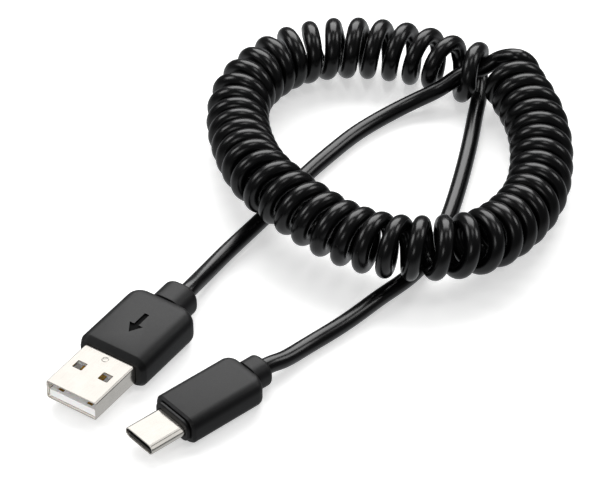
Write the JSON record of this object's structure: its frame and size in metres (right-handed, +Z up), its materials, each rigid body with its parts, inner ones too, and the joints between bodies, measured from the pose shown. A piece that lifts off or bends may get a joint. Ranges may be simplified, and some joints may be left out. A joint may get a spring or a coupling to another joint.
{
  "type": "coiled charging cable",
  "caption": "Coiled black charging cable with a USB-A plug and a USB-C plug; its curly cord is closed into a ring and the two leads lie under it.",
  "frame": {"origin": "middle of the cable's footprint, on the surface that it lies on", "axes": "+Z up from the surface; +Y from the plugs towards the ring of curly cord, the long way; +X across it, towards the side that is furthest from the plugs"},
  "size_m": [0.1067, 0.1292, 0.0172],
  "materials": {
    "black_moulding": "charcoal black PVC, moulded with a fine spark-eroded texture",
    "black_jacket": "black flexible PVC jacket, extruded, semi-gloss",
    "plated_steel": "stamped steel strip, smooth nickel plate",
    "white_nylon": "natural white glass-filled nylon, moulded",
    "black_nylon": "black glass-filled nylon, moulded",
    "gold_contact": "copper alloy strip with a gold flash",
    "inner_moulding": "natural polyethylene, low-pressure moulded",
    "circuit_board": "glass-epoxy board with green solder mask",
    "resistor_body": "black ceramic chip resistor",
    "wire_red": "red PVC insulation",
    "wire_white": "white PVC insulation",
    "wire_green": "green PVC insulation",
    "wire_black": "black PVC insulation"
  },
  "bodies": {
    "cable": {"usb_a_shell": "plated_steel", "usb_a_insulator": "white_nylon", "usb_a_contact_vbus": "gold_contact", "usb_a_contact_data_minus": "gold_contact", "usb_a_contact_data_plus": "gold_contact", "usb_a_contact_ground": "gold_contact", "usb_a_wire_red": "wire_red", "usb_a_wire_white": "wire_white", "usb_a_wire_green": "wire_green", "usb_a_wire_black": "wire_black", "usb_a_cable_clamp": "plated_steel", "usb_a_inner_mould": "inner_moulding", "usb_a_overmould": "black_moulding", "usb_a_strain_relief": "black_moulding", "usb_c_shell": "plated_steel", "usb_c_insulator": "black_nylon", "usb_c_contact_a1": "gold_contact", "usb_c_contact_a4": "gold_contact", "usb_c_contact_a5": "gold_contact", "usb_c_contact_a6": "gold_contact", "usb_c_contact_a7": "gold_contact", "usb_c_contact_a9": "gold_contact", "usb_c_contact_a12": "gold_contact", "usb_c_contact_b1": "gold_contact", "usb_c_contact_b4": "gold_contact", "usb_c_contact_b9": "gold_contact", "usb_c_contact_b12": "gold_contact", "usb_c_ground_plate": "plated_steel", "usb_c_circuit_board": "circuit_board", "usb_c_resistor": "resistor_body", "usb_c_wire_red": "wire_red", "usb_c_wire_white": "wire_white", "usb_c_wire_green": "wire_green", "usb_c_wire_black": "wire_black", "usb_c_cable_clamp": "plated_steel", "usb_c_inner_mould": "inner_moulding", "usb_c_overmould": "black_moulding", "usb_c_strain_relief": "black_moulding", "lead_usb_a": "black_jacket", "coil_body": "black_jacket", "lead_usb_c": "black_jacket"},
    "latch_left": {"usb_c_latch_left": "plated_steel"},
    "latch_right": {"usb_c_latch_right": "plated_steel"}
  },
  "joints": [
    {"name": "latch_left_flex", "type": "hinge", "parent": "cable", "child": "latch_left", "pos_m": [-0.03206, -0.05463, 0.00315], "axis": [0, 0, -1], "range_deg": [0, 1.8], "stiffness_Nm_per_rad": 0.0001},
    {"name": "latch_right_flex", "type": "hinge", "parent": "cable", "child": "latch_right", "pos_m": [-0.02767, -0.05969, 0.00315], "axis": [0, 0, 1], "range_deg": [0, 1.8], "stiffness_Nm_per_rad": 0.0001}
  ]
}
